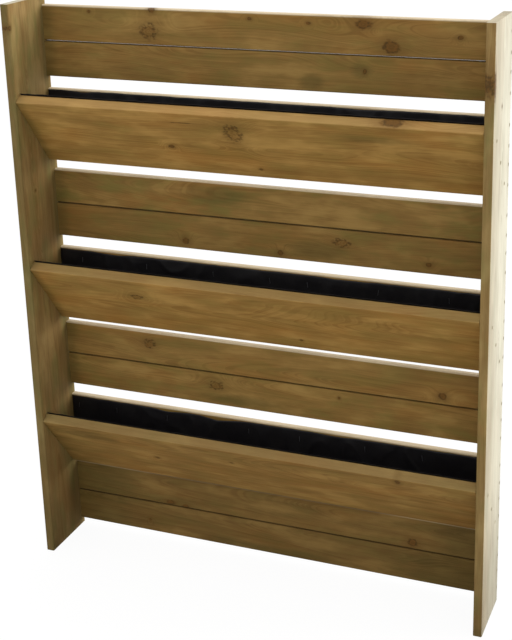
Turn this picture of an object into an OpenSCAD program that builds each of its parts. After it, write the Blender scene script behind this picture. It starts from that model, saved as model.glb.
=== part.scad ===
// Vertical wooden planter: two side boards, a back of paired slats and three leaning front boards
// that make V troughs, each with a thin liner. Origin on the floor, under the middle of the planter.
// X runs along the slats, the front faces -Y, and Z is up.

/* [Overall] */
// Width over the two side boards
overall_w = 1000; // [600:10:1400]
// Depth of the side boards, front edge to back edge
side_d = 140; // [125:1:175]

/* [Boards] */
// Thickness of a side board
side_t = 18; // [14:1:28]
// Thickness of a back slat
slat_t = 14; // [12:1:22]
// Height of a back slat
slat_h = 74; // [60:1:100]
// Thickness of a sloping front board
front_t = 22; // [16:1:28]
// Width of a sloping front board, measured along its slope
front_w = 183; // [165:1:205]
// Radius of the eased edges along every board
edge_r = 2.5; // [1:0.5:5]

/* [Layout] */
// Number of troughs
trough_count = 3; // [1:1:4]
// Open seam between the two slats of a pair
pair_seam = 2; // [1:0.5:6]
// Open gap between one pair of slats and the next
pair_gap = 26; // [12:1:50]
// Open gap over the lowest pair, which lies a little closer under the last trough
low_gap = 17; // [12:1:50]
// How far the top slat lies below the side boards' top ends
top_drop = 17; // [0:1:60]
// How far the lowest slat is held off the floor
floor_gap = 16; // [2:1:60]
// Height of a front board's lower back corner over the bottom of the slats behind it
front_foot = 4; // [2:0.5:20]
// How much higher the front board of the top trough is fixed than the others
top_front_lift = 7; // [0:1:12]
// Gap between the end of a front board and the side board
end_gap = 0.8; // [0.4:0.1:1.5]

/* [Liner] */
// Thickness of the liner film, drawn thicker than real film
liner_t = 1; // [0.6:0.1:2]
// Radius of the fold at the bottom of the liner
liner_fold_r = 7; // [4:0.5:12]
// How far the liner's edge lies below the top of the trough's back
liner_back_drop = 5; // [3:0.5:15]
// How far the liner's edge stands above the top of the front board, along its slope
liner_front_rise = 4; // [0:0.5:12]
// How far the liner's edge sags between two staples
liner_sag = 2.5; // [0.5:0.5:6]
// Distance between staples along the liner's edge
staple_pitch = 150; // [80:5:250]

/* [Screws] */
// Diameter of a screw's shank
screw_d = 3.6; // [3:0.2:5]
// Diameter of a screw's countersunk head
screw_head_d = 7.6; // [6:0.2:9]
// Length of a screw over its head
screw_l = 50; // [40:5:60]
// Distance from a slat's edge to its screws
slat_screw_inset = 17; // [10:1:28]
// Distance from a front board's edges to its outer screws
front_screw_inset = 30; // [20:1:60]
// Number of screws in each end of a front board
front_screw_count = 3; // [2:1:4]

/* [Hidden] */
// clearance left between faces that are only laid against each other
seat_gap = 0.2;
// clearance round a screw in its hole
screw_gap = 0.1;
// length of a screw's pointed tip
screw_tip_l = 6;
// how far a screw's head lies under the board's face
screw_sink = 0.3;
// steps along the liner's edge between two staples
sag_steps = 6;
// a cut runs this far past the face that it opens
cut_past = 1;
// length of the sloping taper under a head, at 90 degrees
screw_head_l = (screw_head_d - screw_d) / 2;

pair_count = 2 * trough_count + 1;
slat_count = 2 * pair_count;
pair_h = 2 * slat_h + pair_seam;
pair_pitch = pair_h + pair_gap;
side_h = top_drop + pair_count * pair_h + (pair_count - 2) * pair_gap + low_gap + floor_gap;
inner_w = overall_w - 2 * side_t;
front_len = inner_w - 2 * end_gap;

// the front edges of the side boards, and the front faces of the slats
front_y = -side_d / 2;
slat_face_y = side_d / 2 - slat_t;

// the lean at which a front board, level with the side boards' front edges at its top,
// comes down to the slats with the eased edge of its lower back corner
reach = slat_face_y - seat_gap - front_y;
front_lean = asin((reach - edge_r) / norm([front_w - edge_r, front_t - edge_r]))
    - atan((front_t - edge_r) / (front_w - edge_r));

screw_head_x = overall_w / 2 - screw_sink;

function slat_name(i) = str("back_slat_", i < 10 ? "0" : "", i);
function front_name(k) = str("trough_front_", k);
function liner_name(k) = str("trough_liner_", k);

// top of pair p, counted from 0 at the top of the planter
function pair_top(p) =
    side_h - top_drop - p * pair_pitch + (p == pair_count - 1 ? pair_gap - low_gap : 0);
// middle height of slat i, counted from 1 at the top
function slat_mid(i) = pair_top(floor((i - 1) / 2)) - slat_h / 2 - ((i - 1) % 2) * (slat_h + pair_seam);
// trough k hangs on pair 2k - 1
function trough_top(k) = pair_top(2 * k - 1);

// height of the front board's top corner in trough k
function front_top_z(k) =
    trough_top(k) - pair_h + front_foot + (k == 1 ? top_front_lift : 0)
        + front_w * cos(front_lean) - front_t * sin(front_lean);
// a place [y, z] on a front board: a is along its slope from the top corner, b is into its thickness
function on_front(k, a, b) = [
    front_y + a * sin(front_lean) + b * cos(front_lean),
    front_top_z(k) - a * cos(front_lean) + b * sin(front_lean)
];

// places [y, z] of the screws that go through a side board
function slat_screw_places() = [
    for (i = [1:slat_count]) for (s = [-1, 1])
        [side_d / 2 - slat_t / 2, slat_mid(i) + s * (slat_h / 2 - slat_screw_inset)]
];
function front_screw_places() = [
    for (k = [1:trough_count]) for (n = [0:front_screw_count - 1])
        let (step = (front_w - 2 * front_screw_inset) / (front_screw_count - 1))
        on_front(k, front_screw_inset + n * step, front_t / 2)
];

// middle of the liner's bottom fold: one distance away from the slats and from the front board
function fold_mid(k, off) =
    let (
        low = on_front(k, front_w, front_t + off),
        y = slat_face_y - off,
        along = (y - low[0]) / sin(front_lean)
    )
    [y, low[1] - along * cos(front_lean)];

// board section with eased edges, centred, true arcs at the corners
module board_section(w, h) {
    square([w - 2 * edge_r, h], center = true);
    square([w, h - 2 * edge_r], center = true);
    for (x = [-1, 1], y = [-1, 1])
        translate([x * (w / 2 - edge_r), y * (h / 2 - edge_r)])
            circle(r = edge_r, $fn = 32);
}

// a bar with its section in YZ, running along X, centred on x = 0
module along_x(length) {
    translate([-length / 2, 0, 0])
        rotate([90, 0, 90])
            linear_extrude(length)
                children();
}

// one screw lying along X with its head at the origin and its tip towards -X
module screw(gap) {
    rotate([0, -90, 0])
        rotate_extrude($fn = 32)
            polygon([
                [0, -gap * 2],
                [screw_head_d / 2 + gap, -gap * 2],
                [screw_head_d / 2 + gap, 0],
                [screw_d / 2 + gap, screw_head_l],
                [screw_d / 2 + gap, screw_l - screw_tip_l],
                [gap, screw_l + gap],
                [0, screw_l + gap]
            ]);
}

// screws, or with a gap the holes for them, at places [y, z] through the side board of that side
module screw_set(side, places, gap = 0) {
    for (p = places)
        translate([side * screw_head_x, p[0], p[1]])
            mirror([side < 0 ? 1 : 0, 0, 0])
                screw(gap);
}

// straight countersunk way from a board's outer face down to the sunk heads
module head_ways(side, places) {
    for (p = places)
        translate([side * (screw_head_x - cut_past / 2), p[0], p[1]])
            rotate([0, side * 90, 0])
                cylinder(r = screw_head_d / 2 + screw_gap, h = cut_past + screw_sink, $fn = 32);
}

module side_board(side) {
    places = concat(slat_screw_places(), front_screw_places());
    color("#8a7442")
        difference() {
            translate([side * (overall_w - side_t) / 2, 0, 0])
                linear_extrude(side_h)
                    board_section(side_t, side_d);
            screw_set(side, places, screw_gap);
            head_ways(side, places);
        }
}

module side_board_left() {
    side_board(-1);
}

module side_board_right() {
    side_board(1);
}

module back_slat(i) {
    places = [for (p = slat_screw_places()) if (abs(p[1] - slat_mid(i)) < slat_h / 2) p];
    color("#6f5a33")
        difference() {
            translate([0, side_d / 2 - slat_t / 2, slat_mid(i)])
                along_x(inner_w)
                    board_section(slat_t, slat_h);
            screw_set(-1, places, screw_gap);
            screw_set(1, places, screw_gap);
        }
}

module trough_front(k) {
    places = [for (n = [0:front_screw_count - 1]) front_screw_places()[(k - 1) * front_screw_count + n]];
    middle = on_front(k, front_w / 2, front_t / 2);
    color("#80602e")
        difference() {
            translate([0, middle[0], middle[1]])
                rotate([front_lean, 0, 0])
                    along_x(front_len)
                        board_section(front_t, front_w);
            screw_set(-1, places, screw_gap);
            screw_set(1, places, screw_gap);
        }
}

// section [y, z] of the space between the slats and the front board, kept off from both,
// with the fold's arc at its bottom and its top line raised by lift
module trough_section(k, off, lift) {
    mid = fold_mid(k, seat_gap + liner_fold_r);
    r = liner_fold_r + seat_gap - off;
    back_y = slat_face_y - off;
    front_top = on_front(k, -liner_front_rise, front_t + off);
    front_low = [mid[0] - r * cos(front_lean), mid[1] - r * sin(front_lean)];
    translate(mid)
        circle(r = r, $fn = 48);
    polygon([
        [back_y, mid[1]],
        [back_y, trough_top(k) - liner_back_drop + lift],
        front_top + [-lift * sin(front_lean), lift * cos(front_lean)],
        front_low,
        mid
    ]);
}

// what is cut from the liner's back edge, seen from in front: shallow sags between the staples
module edge_sags(length) {
    bays = max(1, round(length / staple_pitch));
    bay = length / bays;
    polygon(concat(
        [[length / 2, liner_sag + cut_past], [-length / 2, liner_sag + cut_past]],
        [for (b = [0:bays - 1]) for (s = [0:sag_steps - 1])
            let (u = s / sag_steps)
            [-length / 2 + (b + u) * bay, -4 * liner_sag * u * (1 - u)]],
        [[length / 2, 0]]
    ));
}

// film folded to a V, open at its ends, where the side boards close the trough
module trough_liner(k) {
    length = front_len - 2 * seat_gap;
    color("#1b1a1a")
        difference() {
            along_x(length)
                trough_section(k, seat_gap, 0);
            along_x(length + 2 * cut_past)
                trough_section(k, seat_gap + liner_t, cut_past);
            translate([0, side_d / 2, trough_top(k) - liner_back_drop])
                rotate([90, 0, 0])
                    linear_extrude(slat_t + seat_gap + liner_t + cut_past)
                        edge_sags(length);
        }
}

module slat_screws(side) {
    color("#b9b39a")
        screw_set(side, slat_screw_places());
}

module front_screws(side) {
    color("#b9b39a")
        screw_set(side, front_screw_places());
}

side_board_left();
side_board_right();
for (i = [1:slat_count])
    back_slat(i);
for (k = [1:trough_count])
    trough_front(k);
for (k = [1:trough_count])
    trough_liner(k);
slat_screws(-1);  // slat_screws_left
slat_screws(1);  // slat_screws_right
front_screws(-1);  // front_screws_left
front_screws(1);  // front_screws_right
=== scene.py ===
"""Looks of a vertical wooden planter: planed treated softwood boards, black film liners and their staples."""

import math

import bmesh
import bpy
from mathutils import Matrix, Vector, noise


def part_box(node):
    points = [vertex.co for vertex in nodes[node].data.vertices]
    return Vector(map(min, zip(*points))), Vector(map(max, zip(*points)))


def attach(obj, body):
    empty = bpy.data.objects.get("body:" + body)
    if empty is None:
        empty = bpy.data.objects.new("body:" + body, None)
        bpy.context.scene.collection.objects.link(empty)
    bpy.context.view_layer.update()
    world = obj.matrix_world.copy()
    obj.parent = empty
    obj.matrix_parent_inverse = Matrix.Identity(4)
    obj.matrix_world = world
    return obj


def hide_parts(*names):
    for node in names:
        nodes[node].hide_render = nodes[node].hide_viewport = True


MM = 0.001

# the photograph's frame, in pixels, and where its optical axis meets it
IMAGE_W, IMAGE_H = 512, 640
AXIS_PX = (304, 209.5)
FOCAL_PX = 1297.5

# the camera's place in millimetres and its angles in radians, solved from the boards' edges
CAMERA_MM = (981.4, -2269.1, 1584.2)
CAMERA_YAW, CAMERA_PITCH, CAMERA_ROLL = 0.366, 0.2976, 0.0199

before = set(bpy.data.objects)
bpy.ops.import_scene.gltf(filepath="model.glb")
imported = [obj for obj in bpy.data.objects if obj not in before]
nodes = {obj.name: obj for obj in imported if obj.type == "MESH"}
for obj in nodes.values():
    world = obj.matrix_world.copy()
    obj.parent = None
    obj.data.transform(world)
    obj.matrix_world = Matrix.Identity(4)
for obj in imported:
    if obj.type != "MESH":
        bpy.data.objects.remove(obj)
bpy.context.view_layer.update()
scene = bpy.context.scene

# noise_vector takes its offsets from the clock unless they are seeded, and the films' creases follow them
noise.seed_set(1)


def linear(hex_colour):
    """An sRGB hex colour as the linear RGBA that Blender's sockets take."""
    parts = [int(hex_colour[i:i + 2], 16) / 255 for i in (1, 3, 5)]
    return [c / 12.92 if c <= 0.04045 else ((c + 0.055) / 1.055) ** 2.4 for c in parts] + [1.0]


def add(tree, kind, ins=None, out=0, **settings):
    """Adds a node, sets its settings, fills or links its inputs, and returns one of its outputs."""
    made = tree.nodes.new(kind)
    for name, value in settings.items():
        setattr(made, name, value)
    for key, value in (ins or {}).items():
        if isinstance(value, bpy.types.NodeSocket):
            tree.links.new(value, made.inputs[key])
        else:
            made.inputs[key].default_value = value
    return made.outputs[out] if made.outputs else None


def new_material(name):
    """An empty node material, and its tree."""
    material = bpy.data.materials.new(name)
    material.use_nodes = True
    material.node_tree.nodes.clear()
    return material, material.node_tree


# Camera

def make_camera():
    """The photograph's camera: its axis is off the middle of the frame, so it is shifted by that much."""
    yaw, pitch, roll = CAMERA_YAW, CAMERA_PITCH, CAMERA_ROLL
    ahead = Vector((-math.sin(yaw) * math.cos(pitch), math.cos(yaw) * math.cos(pitch), -math.sin(pitch)))
    level = Vector((math.cos(yaw), math.sin(yaw), 0))
    down = ahead.cross(level)
    right = level * math.cos(roll) + down * math.sin(roll)
    below = down * math.cos(roll) - level * math.sin(roll)
    data = bpy.data.cameras.new("camera")
    data.sensor_width = 36
    data.lens = FOCAL_PX * data.sensor_width / IMAGE_H
    data.shift_x = (IMAGE_W / 2 - AXIS_PX[0]) / IMAGE_H
    data.shift_y = (AXIS_PX[1] - IMAGE_H / 2) / IMAGE_H
    data.clip_end = 60
    camera = bpy.data.objects.new("camera", data)
    turn = Matrix((right, -below, -ahead)).transposed().to_4x4()
    camera.matrix_world = Matrix.Translation(Vector(CAMERA_MM) * MM) @ turn
    scene.collection.objects.link(camera)
    scene.camera = camera


make_camera()

# Treated softwood

# flat-sawn boards: the year rings are a few millimetres apart and show wide where they lie flat to the face
RING_MM = 3.6
EARLY_WOOD = linear("#A07C41")
LATE_WOOD = linear("#6B4D21")
WARM_TINT = linear("#A16F32")
GREEN_TINT = linear("#7B6E33")
LIGHT_WOOD = linear("#B39050")
KNOT_HEART = linear("#6E4818")
KNOT_RIM = linear("#3B260B")
# painted highlight on front 1's top edge
PALE_EDGE = linear("#BC9A66")
# the side boards' outer faces: pale dried wood, and partly painted sunlight
BLEACHED_AND_LIT = linear("#EAE6D2")
# a dimmer painted highlight on the other front boards' top edges
DIM_LIT_EDGE = linear("#897B55")
# painted highlight on the upper slats' top faces and edges
LIT_EDGE = linear("#F2E0BE")
# dust and painted shade in the slats' shut joints, and the darkening towards the side boards' feet
DUST_AND_SHADE = linear("#3D2D12")
# moss in patches, and dirt with painted shade where boards meet
MOSS_AND_SHADE = linear("#45431C")


def softwood_group():
    """Planed, pressure-treated pine as a solid pattern: rings round a pith, fibres along it, knots across it."""
    group = bpy.data.node_groups.new("treated_softwood", "ShaderNodeTree")
    face = group.interface
    for kind, name in (
        ("Vector", "Place"), ("Vector", "Pith"), ("Vector", "Seed"), ("Float", "Knot"), ("Float", "Ringed"),
        ("Float", "End"), ("Float", "Pale"), ("Float", "Damp"), ("Float", "Green"), ("Float", "Stain"),
        ("Color", "Tone"), ("Color", "Bleached"),
    ):
        face.new_socket(name, in_out="INPUT", socket_type="NodeSocket" + kind)
    for kind, name in (("Color", "Color"), ("Float", "Height"), ("Float", "Roughness")):
        face.new_socket(name, in_out="OUTPUT", socket_type="NodeSocket" + kind)
    given = group.nodes.new("NodeGroupInput").outputs

    def grain(along, across, detail, rough=0.5, out=0):
        """Noise stretched along the board: its size in millimetres along and across the grain."""
        size = (1 / along, 1 / across, 1 / across)
        scaled = add(group, "ShaderNodeVectorMath", {0: given["Place"], 1: size}, operation="MULTIPLY")
        moved = add(group, "ShaderNodeVectorMath", {0: scaled, 1: given["Seed"]}, operation="ADD")
        settings = {"Vector": moved, "Scale": 1.0, "Detail": detail, "Roughness": rough}
        return add(group, "ShaderNodeTexNoise", settings, out=out)

    def maths(operation, a, b=0.0, c=0.0, clamp=False):
        return add(group, "ShaderNodeMath", {0: a, 1: b, 2: c}, operation=operation, use_clamp=clamp)

    def ramp(value, low, high, to_low=0.0, to_high=1.0):
        ins = {"Value": value, "From Min": low, "From Max": high, "To Min": to_low, "To Max": to_high}
        return add(group, "ShaderNodeMapRange", ins, interpolation_type="SMOOTHSTEP")

    def mix(share, a, b, blend="MIX"):
        ins = {0: share, 6: a, 7: b}
        return add(group, "ShaderNodeMix", ins, out=2, data_type="RGBA", blend_type=blend)

    # year rings: the distance from a pith that wanders and isn't quite parallel to the board
    wander = add(group, "ShaderNodeVectorMath", {0: grain(520, 110, 1.5, out=1), 1: (0.5, 0.5, 0.5)},
                 operation="SUBTRACT")
    wide = add(group, "ShaderNodeVectorMath", {0: wander, 1: (0, 46, 46)}, operation="MULTIPLY")
    tilted = add(group, "ShaderNodeMapping", {"Vector": given["Place"], "Rotation": (0, 0.022, 0.009)})
    from_pith = add(group, "ShaderNodeVectorMath", {0: tilted, 1: given["Pith"]}, operation="SUBTRACT")
    moved = add(group, "ShaderNodeVectorMath", {0: from_pith, 1: wide}, operation="ADD")
    across = add(group, "ShaderNodeVectorMath", {0: moved, 1: (0, 1, 1)}, operation="MULTIPLY")
    radius = add(group, "ShaderNodeVectorMath", {0: across}, out=1, operation="LENGTH")
    # rings part round a knot, so the distance swells there
    knots = maths("MINIMUM", given["Knot"], given["Ringed"])
    swollen = maths("ADD", radius, ramp(knots, 0.4, 4.5, 9.0, 0.0))
    uneven = add(group, "ShaderNodeTexNoise", {"W": maths("MULTIPLY", swollen, 0.11), "Detail": 1.0},
                 noise_dimensions="1D")
    phase = maths("ADD", maths("DIVIDE", swollen, RING_MM), maths("MULTIPLY", uneven, 2.4))
    part = maths("FRACT", phase)
    late = maths("MULTIPLY", ramp(part, 0.1, 0.8), ramp(part, 0.82, 1.0, 1.0, 0.0))

    streak = grain(220, 8.0, 3.0, 0.55)
    fibre = grain(40, 1.1, 2.0, 0.55)
    blotch = grain(110, 36, 3.0, 0.55)
    hue = grain(190, 60, 2.0, 0.5)
    stain = grain(95, 30, 3.0, 0.6, out=1)
    stains = add(group, "ShaderNodeSeparateXYZ", {0: stain})

    # the rings come and go along a board, and long soft streaks and blotches lie over them
    ringing = ramp(hue, 0.3, 0.65, 0.12, 0.34)
    shade = maths("MULTIPLY_ADD", late, ringing, ramp(streak, 0.34, 0.7, 0.05, 0.25))
    shade = maths("MULTIPLY_ADD", ramp(fibre, 0.3, 0.7), 0.12, shade)
    shade = maths("MULTIPLY_ADD", ramp(blotch, 0.3, 0.75), 0.34, shade, clamp=True)
    wood = mix(shade, EARLY_WOOD, LATE_WOOD)
    wood = mix(ramp(hue, 0.42, 0.75, 0.0, 0.35), wood, WARM_TINT)
    greening = maths("MULTIPLY", ramp(stains, 0.42, 0.72), given["Green"])
    wood = mix(greening, wood, GREEN_TINT)
    wood = mix(ramp(blotch, 0.5, 0.28, 0.0, 0.35), wood, LIGHT_WOOD)
    wood = mix(1.0, wood, given["Tone"], "MULTIPLY")
    # mossy dirt in patches, and dirt with painted shade in the corners where boards meet
    dirt_and_shade = maths("MULTIPLY_ADD", grain(34, 9, 3.0, 0.6), 1.2, given["Stain"])
    wood = mix(ramp(dirt_and_shade, 1.2, 2.7, 0.36, 0.0), wood, MOSS_AND_SHADE)

    # faces and edges made paler, partly as weathered wood and partly as painted highlights where light catches them,
    # and the sawn ends painted pale as a highlight from above; knots show through
    pale = mix(maths("MULTIPLY", shade, 0.45), given["Bleached"], wood)
    lit_and_bleached_share = maths("MULTIPLY_ADD", given["End"], 0.6, given["Pale"], clamp=True)
    wood = mix(lit_and_bleached_share, wood, pale)

    # a tight knot: ragged dark patches round a browner heart with its own rings, and darker grain round it
    ragged = grain(11, 7, 3.0, 0.6)
    frayed = maths("MULTIPLY_ADD", ragged, 1.1, given["Knot"])
    halo = ramp(frayed, 1.3, 3.2, 0.42, 0.0)
    heart = ramp(frayed, 1.2, 1.75, 1.0, 0.0)
    flecks = ramp(grain(6, 5, 2.0), 0.4, 0.58)
    rim = maths("MULTIPLY", ramp(frayed, 0.7, 1.4), flecks)
    turns = maths("SINE", maths("MULTIPLY", frayed, 11.0))
    heart_shade = maths("MULTIPLY_ADD", turns, 0.2, maths("MULTIPLY_ADD", rim, 0.8, 0.15), clamp=True)
    wood = mix(halo, wood, LATE_WOOD)
    wood = mix(maths("MULTIPLY", heart, 0.75), wood, mix(heart_shade, KNOT_HEART, KNOT_RIM))
    # a ringed knot is nearly the colour of the wood inside a broken dark outline
    frayed = maths("MULTIPLY_ADD", ragged, 1.8, given["Ringed"])
    outline = maths("MULTIPLY", ramp(frayed, 1.35, 1.75), ramp(frayed, 1.75, 2.3, 1.0, 0.0))
    inside = maths("MULTIPLY", ramp(frayed, 1.5, 2.0, 1.0, 0.0), maths("MULTIPLY_ADD", maths(
        "SINE", maths("MULTIPLY", frayed, 13.0)), 0.22, 0.36))
    wood = mix(ramp(frayed, 1.7, 3.7, 0.28, 0.0), wood, LATE_WOOD)
    wood = mix(inside, wood, KNOT_HEART)
    wood = mix(maths("MULTIPLY", outline, maths("MULTIPLY_ADD", flecks, 0.6, 0.08)), wood, KNOT_RIM)

    # darker towards the side boards' feet, and dust with painted shade in the shut joints between slats
    wood = mix(given["Damp"], wood, DUST_AND_SHADE)

    relief = maths("MULTIPLY_ADD", late, 0.55, maths("MULTIPLY", fibre, 0.45))
    relief = maths("MULTIPLY_ADD", heart, 0.35, relief)
    gloss = maths("MULTIPLY_ADD", streak, 0.2, 0.58)
    gloss = maths("MULTIPLY_ADD", given["End"], 0.12, gloss)
    gloss = maths("MULTIPLY_ADD", given["Damp"], 0.5, gloss, clamp=True)
    result = group.nodes.new("NodeGroupOutput").inputs
    group.links.new(wood, result["Color"])
    group.links.new(relief, result["Height"])
    group.links.new(gloss, result["Roughness"])
    return group


softwood = softwood_group()


# how far the nearest knot counts as where there is none, in half sizes, and how softly two run together
NO_KNOT, KNOT_BLEND = 9.0, 0.6


def nearest_knot(tree, place, knots):
    """How far a place is from the nearest of these knots, in that knot's own half sizes. A knot goes right through
    its board, unless a depth below the face and a half thickness follow."""
    nearest = NO_KNOT
    for along, up, half_l, half_w, *inside in knots:
        below, flat = (inside[0] / inside[1], 1 / inside[1]) if inside else (0, 0)
        ins = {"Vector": place, "Location": (-along / half_l, -up / half_w, below),
               "Scale": (1 / half_l, 1 / half_w, flat)}
        away = add(tree, "ShaderNodeVectorMath", {0: add(tree, "ShaderNodeMapping", ins)}, out=1, operation="LENGTH")
        nearest = add(tree, "ShaderNodeMath", {0: nearest, 1: away, 2: KNOT_BLEND}, operation="SMOOTH_MIN")
    return nearest


def board_finish(name, turn, shift, pith, seed, knots, axis, tone, stains, green, bleached_and_lit, pale=(), dust_and_shade=()):
    """One board's softwood. turn and shift take the object's place to the board's own millimetres: along its
    length, up its width, and out of its face. axis is the grain's way in the object, for the sawn ends. knots are
    its tight ones and its ringed ones, and stains its mossy patches and its dirt with painted shade where boards
    meet, each as (along, up, half length, half width).
    pale, for paler wood and painted highlights, and the dark bands, for dust and painted shade, each multiply their
    bands together. A band is the board's axis that it lies across, where it starts and ends there, and how much there
    is before and after it."""
    material, tree = new_material(name)
    where = add(tree, "ShaderNodeTexCoord", out="Object")
    facing = where.node.outputs["Normal"]
    scale = (1 / MM,) * 3
    place = add(tree, "ShaderNodeMapping", {"Vector": where, "Location": shift, "Rotation": turn, "Scale": scale})
    cut = add(tree, "ShaderNodeVectorMath", {0: facing, 1: axis}, out=1, operation="DOT_PRODUCT")
    end = add(tree, "ShaderNodeMath", {0: cut}, operation="ABSOLUTE")
    end = add(tree, "ShaderNodeMapRange", {"Value": end, "From Min": 0.6, "From Max": 0.9})
    tight, ringed = knots
    ins = {"Place": place, "Pith": (0, *pith), "Seed": (seed * 7.3, seed * 3.1, seed * 1.7),
           "Knot": nearest_knot(tree, place, tight), "Ringed": nearest_knot(tree, place, ringed),
           "End": end, "Green": green, "Stain": nearest_knot(tree, place, stains), "Tone": (*tone, 1),
           "Bleached": bleached_and_lit}
    for key, bands in (("Pale", pale), ("Damp", dust_and_shade)):
        for socket, low, high, least, most in bands:
            at = add(tree, "ShaderNodeSeparateXYZ", {0: place}, out=socket)
            band = add(tree, "ShaderNodeMapRange", {
                "Value": at, "From Min": low, "From Max": high, "To Min": least, "To Max": most},
                interpolation_type="SMOOTHSTEP")
            ins[key] = add(tree, "ShaderNodeMath", {0: band, 1: ins.get(key, 1.0)}, operation="MULTIPLY")
    wood = add(tree, "ShaderNodeGroup", ins, node_tree=softwood).node.outputs
    bump = add(tree, "ShaderNodeBump", {"Strength": 0.4, "Distance": 0.3 * MM, "Height": wood["Height"]})
    shader = add(tree, "ShaderNodeBsdfPrincipled", {
        "Base Color": wood["Color"], "Roughness": wood["Roughness"], "Normal": bump,
        "IOR": 1.45, "Specular IOR Level": 0.22})
    add(tree, "ShaderNodeOutputMaterial", {"Surface": shader})
    return material


def dress(node, material):
    """Gives a carried-over CAD node its material, in its one slot."""
    mesh = nodes[node].data
    mesh.materials.clear()
    mesh.materials.append(material)
    for face in mesh.polygons:
        face.material_index = 0


# knots and pins read off the photograph, tight ones and then ringed ones, in the board's own millimetres
# from its middle, or up from its foot for a side board; the boards that it hides have some of the same sizes
SLAT_KNOTS = {
    1: ([(-372, 26, 4, 3), (-229, 34, 8, 6), (-16, 24, 5, 3), (107, 20, 5, 3), (218, 22, 17, 10), (274, -19, 18, 14),
         (406, 4, 6, 4)], [(-238, -9, 17, 15)]),
    2: ([(220, 7, 4, 5)], []),
    3: ([(-310, 12, 11, 9)], [(140, -16, 14, 9)]),
    4: ([(-200, -18, 6, 5)], [(60, 10, 16, 11)]),
    5: ([], []),
    6: ([(-177, -21, 9, 7), (37, -25, 7, 6), (350, -18, 6, 5)], [(170, 10, 16, 8)]),
    7: ([(250, -8, 12, 9)], [(-150, 12, 15, 9)]),
    8: ([(30, -20, 9, 7)], [(-330, 14, 13, 8)]),
    9: ([(381, -20, 10, 8)], [(-277, 9, 12, 9)]),
    10: ([(160, 20, 3, 3)], [(-120, 8, 16, 9)]),
    11: ([(-300, 12, 9, 7)], [(40, 12, 14, 9)]),
    12: ([(190, -14, 9, 8)], [(-380, 6, 12, 8)]),
    13: ([(320, -22, 12, 10), (-209, -34, 9, 5), (-246, -30, 12, 5)], []),
    14: ([(-301, -9, 4, 4)], []),
}
FRONT_KNOTS = {
    1: ([(-166, -12, 7, 5), (310, 93, 24, 10, 13, 11), (14, -65, 4, 3), (-118, 64, 24, 1.2)],
        [(-16, 42, 16, 22)]),
    2: ([(93, -59, 4, 3)], [(-250, 34, 14, 8)]),
    3: ([(-234, 2, 6, 4), (-48, 40, 4, 3), (322, 80, 6, 8)], []),
}
SIDE_KNOTS = {
    "left": ([(1183, -67, 6, 4), (834, -24, 3, 3), (300, -30, 8, 6)], [(640, 22, 14, 9), (1010, 10, 15, 9)]),
    "right": ([(1070, -6, 4, 3), (1118, -66, 26, 6)], []),
}
# mossy patches, read the same way, and dirt with painted shade where boards meet; front 3 grows darker towards
# its left end
SLAT_STAINS_AND_SHADE = {2: [(111, -19, 18, 11), (213, 8, 14, 9)], 5: [(-100, 8, 46, 13)], 6: [(120, -12, 40, 12)],
               10: [(-60, -20, 60, 8)], 13: [(-240, -28, 50, 10), (-420, 0, 60, 40), (440, 0, 50, 40)],
               14: [(20, -30, 120, 8), (420, -5, 90, 40), (-430, 0, 60, 40)]}
FRONT_STAINS = {1: [(262, 54, 44, 8)], 3: [(-400, 60, 60, 14), (-620, 0, 130, 400)]}
# darker patches at the boards' ends: dirt and painted shade where they meet the side boards
SLAT_ENDS = [(-486, 0, 20, 90), (486, 0, 20, 90)]
FRONT_ENDS = [(-486, 0, 14, 150)]
SIDE_STAINS_AND_SHADE = {"left": [(615, 54, 650, 8), (110, 45, 60, 16), (615, -72, 700, 4), (0, -66, 14, 14)],
               "right": [(615, 54, 650, 8), (0, -66, 14, 14)]}
# how light each board is against the rest, slats 13 and 14 darker as painted shade under the lowest front board,
# and how green the treatment has left it
SLAT_TONES = (1.0, 0.98, 0.96, 0.96, 0.93, 0.9, 0.96, 0.96, 0.98, 1.0, 0.96, 0.96, 0.71, 0.66)
SLAT_GREENS = (0.35, 0.45, 0.5, 0.6, 0.7, 0.55, 0.5, 0.6, 0.4, 0.5, 0.5, 0.6, 0.35, 0.35)
SIDE_TONES = {"left": 0.98, "right": 1.0}
# what the colour of all slats, and of both side boards, is multiplied by besides
SLAT_TINT, SIDE_TINT = (1.03, 1.06, 1.1), (1.06, 1.22, 1.7)

for i in range(1, 15):
    node = f"back_slat_{i:02d}"
    low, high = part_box(node)
    middle, half = (low.z + high.z) / 2 / MM, (high.z - low.z) / 2 / MM
    side = 1 if i % 3 else -1
    # the upper slat of a pair has its top and edge painted pale, as a highlight where light from behind catches them;
    # the lower one's are in the shut joint, and are painted dark with dust and painted shade
    edge = (1, half - 4.5, half - 1, 0)
    pale, dust_and_shade = ([(*edge, 0.95)], ()) if i % 2 else ((), [(1, half - 2, half - 0.3, 0, 0.5)])
    if i == 13:
        # all that shows of this one's edge, under the lowest front board, is painted half pale as a highlight, and
        # dark as painted shade between its ends
        pale, dust_and_shade = [(*edge, 0.5)], [(*edge, 0.8), (0, -350, -250, 0, 1), (0, 230, 330, 1, 0)]
    dress(node, board_finish(
        f"treated_softwood_slat_{i:02d}", (-math.pi / 2, 0, 0), (0, -middle, low.y / MM),
        (side * (18 + 7 * (i % 4)), -38 - 9 * (i % 3)), i, SLAT_KNOTS[i], (1, 0, 0),
        [SLAT_TONES[i - 1] * c for c in SLAT_TINT], SLAT_STAINS_AND_SHADE.get(i, []) + SLAT_ENDS,
        green=SLAT_GREENS[i - 1], bleached_and_lit=LIT_EDGE, pale=pale, dust_and_shade=dust_and_shade))

# the front boards' lean follows from their box: its height and depth are the leaning board's
FRONT_W, FRONT_T, EASE = 183, 22, 2.5
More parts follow.
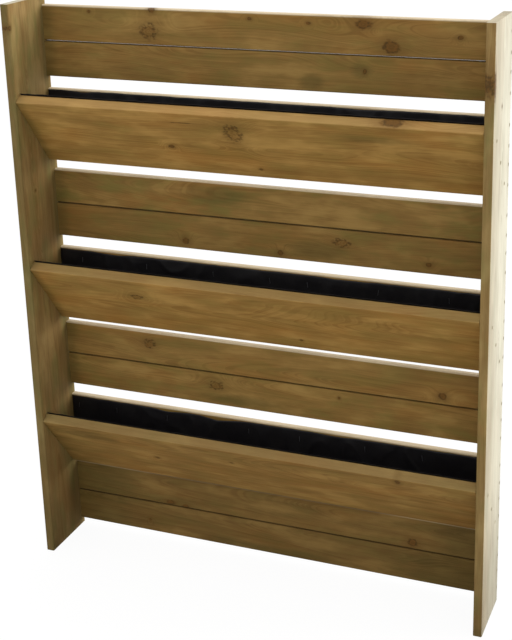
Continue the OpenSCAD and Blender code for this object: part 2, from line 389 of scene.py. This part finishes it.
# painted light: the fronts are made lighter than the slats, standing in for the floor's light thrown up onto their
# faces
FRONT_TONES = (1.46, 1.44, 1.18)
# the front boards' top edges are painted paler, as a highlight where light from above catches them
FRONT_EDGES = ((PALE_EDGE, 0.45), (DIM_LIT_EDGE, 0.5), (DIM_LIT_EDGE, 0.5))


def front_lean(node):
    """The lean, in radians, at which a board of that width and thickness, with eased edges, fills the node's box."""
    low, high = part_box(node)
    deep, tall = (high.y - low.y) / MM - 2 * EASE, (high.z - low.z) / MM - 2 * EASE
    wide, thick = FRONT_W - 2 * EASE, FRONT_T - 2 * EASE
    return math.asin((deep * wide - tall * thick) / (wide ** 2 - thick ** 2))


for k in range(1, 4):
    node = f"trough_front_{k}"
    low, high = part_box(node)
    lean = front_lean(node)
    centre = (low + high) / 2 / MM
    turn = -(math.pi / 2 + lean)
    up = centre.y * math.cos(turn) - centre.z * math.sin(turn)
    out = centre.y * math.sin(turn) + centre.z * math.cos(turn)
    edge, share = FRONT_EDGES[k - 1]
    dress(node, board_finish(
        f"treated_softwood_front_{k}", (turn, 0, 0), (0, -up, -FRONT_T / 2 - out),
        (-20 + 26 * k, -74), 20 + k, FRONT_KNOTS[k], (1, 0, 0),
        [FRONT_TONES[k - 1]] * 3, FRONT_STAINS.get(k, []) + FRONT_ENDS, green=0.25, bleached_and_lit=edge,
        pale=[(1, FRONT_W / 2 - 2, FRONT_W / 2 - 0.3, 0, share)]))

for label, side in (("left", -1), ("right", 1)):
    node = f"side_board_{label}"
    low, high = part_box(node)
    outer = -side * max(abs(low.x), abs(high.x)) / MM
    # out of the face is -x here; the outer faces are painted paler, partly as dried wood and partly as
    # painted sunlight, least so at the foot and along the front
    pale = [(2, outer + side, outer + 0.1 * side, 0, 1), (0, 40, 800, 0.85, 1), (1, -75, 35, 0.58, 1)]
    dress(node, board_finish(
        f"treated_softwood_side_{label}", (0, math.pi / 2, 0), (0, 0, 0),
        (12 * side, outer + side * 60), 30 + side, SIDE_KNOTS[label], (0, 0, 1),
        [SIDE_TONES[label] * c for c in SIDE_TINT], SIDE_STAINS_AND_SHADE[label], green=0.6, bleached_and_lit=BLEACHED_AND_LIT, pale=pale,
        dust_and_shade=[(0, 380, 0, 0, 0.34)]))

# Plated screws

screw_steel, tree = new_material("yellow_zinc_plated_steel")
# passivated zinc: a dull brassy metal, slightly mottled, with the gloss of a drawn and plated head
speck = add(tree, "ShaderNodeTexNoise", {
    "Vector": add(tree, "ShaderNodeTexCoord", out="Object"), "Scale": 1 / (1.2 * MM), "Detail": 2.0})
tarnish = add(tree, "ShaderNodeMix", {0: speck, 6: linear("#C9B77E"), 7: linear("#8F8562")}, out=2, data_type="RGBA")
dull = add(tree, "ShaderNodeMapRange", {"Value": speck, "To Min": 0.3, "To Max": 0.52})
shader = add(tree, "ShaderNodeBsdfPrincipled", {"Base Color": tarnish, "Metallic": 1.0, "Roughness": dull})
add(tree, "ShaderNodeOutputMaterial", {"Surface": shader})
for node in ("slat_screws_left", "slat_screws_right", "front_screws_left", "front_screws_right"):
    dress(node, screw_steel)

# Liner film

liner_film, tree = new_material("black_polythene_film")
# blown film: deep black, satin, with a soft crinkle that breaks up its shine
where = add(tree, "ShaderNodeTexCoord", out="Object")
crinkle = add(tree, "ShaderNodeTexNoise", {
    "Vector": where, "Scale": 1 / (14 * MM), "Detail": 3.0, "Roughness": 0.55, "Distortion": 1.2})
dust = add(tree, "ShaderNodeTexNoise", {"Vector": where, "Scale": 1 / (60 * MM), "Detail": 4.0, "Roughness": 0.7})
veil = add(tree, "ShaderNodeMapRange", {"Value": dust, "From Min": 0.5, "From Max": 0.8, "To Max": 0.5})
black = add(tree, "ShaderNodeMix", {0: veil, 6: linear("#151315"), 7: linear("#262322")}, out=2, data_type="RGBA")
satin = add(tree, "ShaderNodeMapRange", {"Value": dust, "To Min": 0.38, "To Max": 0.58})
bump = add(tree, "ShaderNodeBump", {"Strength": 0.35, "Distance": 0.6 * MM, "Height": crinkle})
shader = add(tree, "ShaderNodeBsdfPrincipled", {
    "Base Color": black, "Roughness": satin, "Normal": bump, "IOR": 1.51, "Specular IOR Level": 0.3})
add(tree, "ShaderNodeOutputMaterial", {"Surface": shader})

# the film's way across a trough, in millimetres: from a little below the slat's top, round the fold at the bottom,
# and up to a lip that stands above the front board
FILM_MM = 0.3
FILM_OFF = 0.5
# the film ends this much inside the ends of the liner solid
FILM_INSET = 0.4
BACK_DROP = {1: 1, 2: 3, 3: 3}
FRONT_LIP, FOLD_R = 4, 6.7
# over how much of the film the dips of its back edge and the unevenness and lean of its lip fade out
DIP_FADE, LIP_FADE, LEAN_FADE = 60, 30, 5
LIP_LEAN = 0.9
# the staples' rows, down from the film's back edge and from the front board's top, and how far askew one may be,
# in radians
BACK_ROW, FRONT_ROW, ASKEW = 22, 16, 0.14
# slat at each trough's back, staples along it as photographed or at their spacing, and where the edge dips
TROUGH_BACK = {1: 3, 2: 7, 3: 11}
STAPLES = {
    1: [-462, -318, -160, -12, 142, 300, 458],
    2: [-428, -272, -116, 12, 95, 246, 392, 464],
    3: [-464, -368, -243, -47, 70, 216, 340, 462],
}
DIPS = {
    1: [(-395, 28, 2.5), (210, 40, 2)],
    2: [(-350, 35, 2.5), (170, 45, 2)],
    3: [(-240, 26, 4.5), (-118, 34, 6), (150, 40, 2)],
}


def trough(k):
    """Trough k's path for its film, in millimetres: a function of the distance along it that gives [y, z] and the
    way into the trough there, how far it first runs straight down, its full length, and the front board's lean."""
    front = f"trough_front_{k}"
    low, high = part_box(front)
    centre = Vector((low.y + high.y, low.z + high.z)) / 2 / MM
    lean = front_lean(front)
    down, inward = Vector((math.sin(lean), -math.cos(lean))), Vector((math.cos(lean), math.sin(lean)))
    slat_low, slat_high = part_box(f"back_slat_{TROUGH_BACK[k]:02d}")
    top = slat_high.z / MM - BACK_DROP[k]
    back_y = slat_low.y / MM - FILM_OFF
    # the fold's middle is as far from the slats as from the front board
    face = centre + inward * (FRONT_T / 2 + FILM_OFF + FOLD_R)
    mid_y = back_y - FOLD_R
    mid = face + down * ((mid_y - face.x) / down.x)
    edge = centre - down * (FRONT_W / 2 + FRONT_LIP) + inward * (FRONT_T / 2 + FILM_OFF)
    bend = mid - inward * FOLD_R
    straight, arc, slope = top - mid.y, FOLD_R * (math.pi - lean), (edge - bend).length

    def at(s):
        if s < straight:
            return Vector((back_y, top - s)), Vector((-1, 0))
        if s < straight + arc:
            turn = (s - straight) / FOLD_R
            way = Vector((math.cos(turn), -math.sin(turn)))
            return mid + way * FOLD_R, -way
        return bend - down * (s - straight - arc), inward

    return at, straight, straight + arc + slope, lean


def film_lift(k, x, s, straight, length):
    """How far the film stands off the boards, in millimetres: nothing at a staple, soft puckers round it,
    creases over the slats, and slack over the fold."""
    near = min(math.hypot((x - at) / 26, (s - BACK_ROW) / 30) for at in STAPLES[k])
    held = min(1.0, near) ** 1.5
    place = Vector((x / 46, s / 90, 7.0 * k))
    creases = 1 - abs(noise.noise(place + noise.noise_vector(place * 0.7) * 0.6)) * 2.4
    crinkle = noise.fractal(Vector((x / 15, s / 24, 3.0 * k)), 0.9, 2.1, 3) * 0.5 + 0.25
    pucker = math.exp(-near * near * 1.6) * abs(math.sin(x * 0.34 + s * 0.11 + k)) * 1.1 * min(1, near * 3)
    belly = math.exp(-((s - straight - 6) / 26) ** 2) * (2.0 + 1.6 * noise.noise(Vector((x / 70, 0.3, k))))
    edge = min(1.0, s / 14) * min(1.0, (length - s) / 14)
    slack = max(0.0, creases) ** 2 * 2.4 * (0.35 + 0.65 * edge)
    return held * (slack + max(0.0, crinkle) * 1.1) + pucker + max(0.0, belly)


def make_film(k):
    """The film as one thin closed sheet, shaped in place of the CAD liner, and its path's length and its width in
    metres."""
    at, straight, length, _ = trough(k)
    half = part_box(f"trough_liner_{k}")[1].x / MM - FILM_INSET
    columns, rows = 280, 84
    inner, outer = [], []
    for i in range(columns + 1):
        x = -half + 2 * half * i / columns
        dip = sum(deep * math.exp(-((x - where) / wide) ** 2) for where, wide, deep in DIPS[k])
        dip += 0.9 + 0.9 * noise.noise(Vector((x / 33, 1.7, k)))
        uneven = 1.1 * noise.noise(Vector((x / 55, 4.1, k))) - 0.2
        for j in range(rows + 1):
            s = length * j / rows
            # only the back edge dips: further down the film is where it was
            s += dip * max(0.0, 1 - s / DIP_FADE)
            # the lip over the front board is a little uneven, and leans out over it
            s += uneven * max(0.0, 1 - (length - s) / LIP_FADE)
            place, way = at(s)
            lift = film_lift(k, x, s, straight, length) - LIP_LEAN * max(0.0, 1 - (length - s) / LEAN_FADE) ** 2
            for skin, off in ((inner, FILM_MM / 2), (outer, -FILM_MM / 2)):
                spot = place + way * (lift + off)
                skin.append((x * MM, spot.x * MM, spot.y * MM))
    count, step = len(inner), rows + 1
    faces = []
    for i in range(columns):
        for j in range(rows):
            a, b = i * step + j, (i + 1) * step + j
            faces += [(a, a + 1, b + 1, b), (count + a, count + b, count + b + 1, count + a + 1)]
    rim = [i * step for i in range(columns + 1)] + [columns * step + j for j in range(1, rows + 1)]
    rim += [i * step + rows for i in range(columns - 1, -1, -1)] + list(range(rows - 1, 0, -1))
    for a, b in zip(rim, rim[1:] + rim[:1]):
        faces.append((a, b, count + b, count + a))
    mesh = bpy.data.meshes.new(f"liner_film_{k}")
    mesh.from_pydata(inner + outer, [], faces)
    mesh.materials.append(liner_film)
    mesh.polygons.foreach_set("use_smooth", [n < 2 * columns * rows for n in range(len(faces))])
    mesh.update()
    film = bpy.data.objects.new(f"liner_film_{k}", mesh)
    scene.collection.objects.link(film)
    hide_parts(f"trough_liner_{k}")
    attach(film, "root")
    return film, length * MM, 2 * half * MM


# Staples

CROWN_MM, LEG_MM, WIRE_MM = 12, 8, 0.9

staple_wire, tree = new_material("galvanised_wire")
# zinc-coated wire: a grey metal with a fine drawn streak along it
streaks = add(tree, "ShaderNodeTexNoise", {
    "Vector": add(tree, "ShaderNodeTexCoord", out="Object"), "Scale": 1 / (0.8 * MM), "Detail": 2.0})
grey = add(tree, "ShaderNodeMix", {0: streaks, 6: linear("#5E6062"), 7: linear("#7A7C7E")}, out=2, data_type="RGBA")
shader = add(tree, "ShaderNodeBsdfPrincipled", {"Base Color": grey, "Metallic": 1.0, "Roughness": 0.5})
add(tree, "ShaderNodeOutputMaterial", {"Surface": shader})


def staple_shape():
    """One wire staple: its crown upright, its legs towards +y, as a swept square wire with bent corners."""
    bend = 1.0
    path = []
    for side in (-1, 1):
        corner = [(LEG_MM, side * CROWN_MM / 2)]
        for n in range(5):
            turn = math.pi / 2 * n / 4
            corner.append((bend - bend * math.sin(turn), side * (CROWN_MM / 2 - bend + bend * math.cos(turn))))
        path += corner if side < 0 else corner[::-1]
    made = bmesh.new()
    rings = []
    for n, (y, z) in enumerate(path):
        before, after = Vector(path[max(n - 1, 0)]), Vector(path[min(n + 1, len(path) - 1)])
        along = (after - before).normalized()
        out = Vector((-along.y, along.x)) * WIRE_MM / 2
        ring = [(WIRE_MM / 2, y + out.x, z + out.y), (WIRE_MM / 2, y - out.x, z - out.y),
                (-WIRE_MM / 2, y - out.x, z - out.y), (-WIRE_MM / 2, y + out.x, z + out.y)]
        rings.append([made.verts.new(Vector(corner) * MM) for corner in ring])
    for one, two in zip(rings, rings[1:]):
        for n in range(4):
            made.faces.new((one[n], one[n - 1], two[n - 1], two[n]))
    made.faces.new(rings[0])
    made.faces.new(rings[-1][::-1])
    bmesh.ops.recalc_face_normals(made, faces=made.faces)
    mesh = bpy.data.meshes.new("staple")
    made.to_mesh(mesh)
    made.free()
    return bpy.data.objects.new("staple", mesh)


def staple_rows(staple):
    """Geometry nodes that put a staple on every point of a mesh, turned by the point's own turn and a little askew."""
    group = bpy.data.node_groups.new("staple_rows", "GeometryNodeTree")
    group.interface.new_socket("Geometry", in_out="INPUT", socket_type="NodeSocketGeometry")
    askew = group.interface.new_socket("Askew", in_out="INPUT", socket_type="NodeSocketFloat")
    seed = group.interface.new_socket("Seed", in_out="INPUT", socket_type="NodeSocketInt")
    group.interface.new_socket("Geometry", in_out="OUTPUT", socket_type="NodeSocketGeometry")
    given = group.nodes.new("NodeGroupInput").outputs
    turn = add(group, "GeometryNodeInputNamedAttribute", {"Name": "turn"})
    turned = add(group, "ShaderNodeCombineXYZ", {"X": turn})
    model = add(group, "GeometryNodeObjectInfo", {"Object": staple}, out="Geometry")
    placed = add(group, "GeometryNodeInstanceOnPoints", {
        "Points": given["Geometry"], "Instance": model, "Rotation": turned})
    less = add(group, "ShaderNodeMath", {0: given["Askew"], 1: -1.0}, operation="MULTIPLY")
    random = group.nodes.new("FunctionNodeRandomValue")
    for socket in random.inputs:
        if socket.type == "VALUE" and socket.name == "Min":
            group.links.new(less, socket)
        if socket.type == "VALUE" and socket.name == "Max":
            group.links.new(given["Askew"], socket)
    group.links.new(given["Seed"], random.inputs["Seed"])
    tilt = add(group, "ShaderNodeCombineXYZ", {"Y": random.outputs[1]})
    leaned = add(group, "GeometryNodeRotateInstances", {"Instances": placed, "Rotation": tilt, "Local Space": True})
    real = add(group, "GeometryNodeRealizeInstances", {"Geometry": leaned})
    done = add(group, "GeometryNodeSetMaterial", {"Geometry": real, "Material": staple_wire})
    group.links.new(done, group.nodes.new("NodeGroupOutput").inputs["Geometry"])
    return group, askew.identifier, seed.identifier


staple = staple_shape()
rows_group, askew_key, seed_key = staple_rows(staple)


def make_staples(k):
    """The staples of film k: a row into the slat at the trough's back, and a row into the front board."""
    at, _, length, lean = trough(k)
    spots, turns = [], []
    for x in STAPLES[k]:
        for s, turn in ((BACK_ROW, 0.0), (length - FRONT_LIP - FRONT_ROW, math.pi + lean)):
            place, way = at(s)
            place = place + way * (FILM_MM / 2 + WIRE_MM / 2)
            spots.append((x * MM, place.x * MM, place.y * MM))
            turns.append(turn)
    points = bpy.data.meshes.new("staple_points")
    points.from_pydata(spots, [], [])
    points.attributes.new("turn", "FLOAT", "POINT").data.foreach_set("value", turns)
    source = bpy.data.objects.new("staple_points", points)
    scene.collection.objects.link(source)
    maker = source.modifiers.new("rows", "NODES")
    maker.node_group = rows_group
    maker[askew_key], maker[seed_key] = ASKEW, 11 + k
    mesh = bpy.data.meshes.new_from_object(source.evaluated_get(bpy.context.evaluated_depsgraph_get()))
    mesh.name = f"liner_staples_{k}"
    bpy.data.objects.remove(source)
    made = bpy.data.objects.new(f"liner_staples_{k}", mesh)
    scene.collection.objects.link(made)
    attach(made, "root")
    return made


for k in range(1, 4):
    film, length, width = make_film(k)
    staples = make_staples(k)
bpy.data.objects.remove(staple)

# Floor and light

reach = 40
corners = [(-reach, -reach, 0), (reach, -reach, 0), (reach, reach, 0), (-reach, reach, 0)]
floor_mesh = bpy.data.meshes.new("floor")
floor_mesh.from_pydata(corners, [], [(0, 1, 2, 3)])
floor = bpy.data.objects.new("floor", floor_mesh)
scene.collection.objects.link(floor)
floor_finish, tree = new_material("studio_floor")
# the camera sees most of the floor as plain white, and the rest of it takes the planter's soft shadow
plain_share = 0.86
seen = add(tree, "ShaderNodeLightPath", out="Is Camera Ray")
share = add(tree, "ShaderNodeMath", {0: seen, 1: plain_share}, operation="MULTIPLY")
matt = add(tree, "ShaderNodeBsdfDiffuse", {"Color": (0.5, 0.5, 0.5, 1)})
glow = add(tree, "ShaderNodeEmission", {"Color": (1, 1, 1, 1), "Strength": 1.1})
surface = add(tree, "ShaderNodeMixShader", {0: share, 1: matt, 2: glow})
add(tree, "ShaderNodeOutputMaterial", {"Surface": surface})
floor_mesh.materials.append(floor_finish)

world = bpy.data.worlds.new("studio")
scene.world = world
world.use_nodes = True
world.node_tree.nodes.clear()
white = add(world.node_tree, "ShaderNodeBackground", {"Color": (1, 1, 1, 1), "Strength": 1.0})
add(world.node_tree, "ShaderNodeOutputWorld", {"Surface": white})

sun_data = bpy.data.lights.new("window", "SUN")
sun_data.energy = 1.7
sun_data.angle = math.radians(30)
sun = bpy.data.objects.new("window", sun_data)
towards_sun = Vector((0.93, 0.3, 0.2))
sun.rotation_mode = "QUATERNION"
sun.rotation_quaternion = towards_sun.to_track_quat("Z", "Y")
scene.collection.objects.link(sun)

scene.view_settings.view_transform = "Standard"
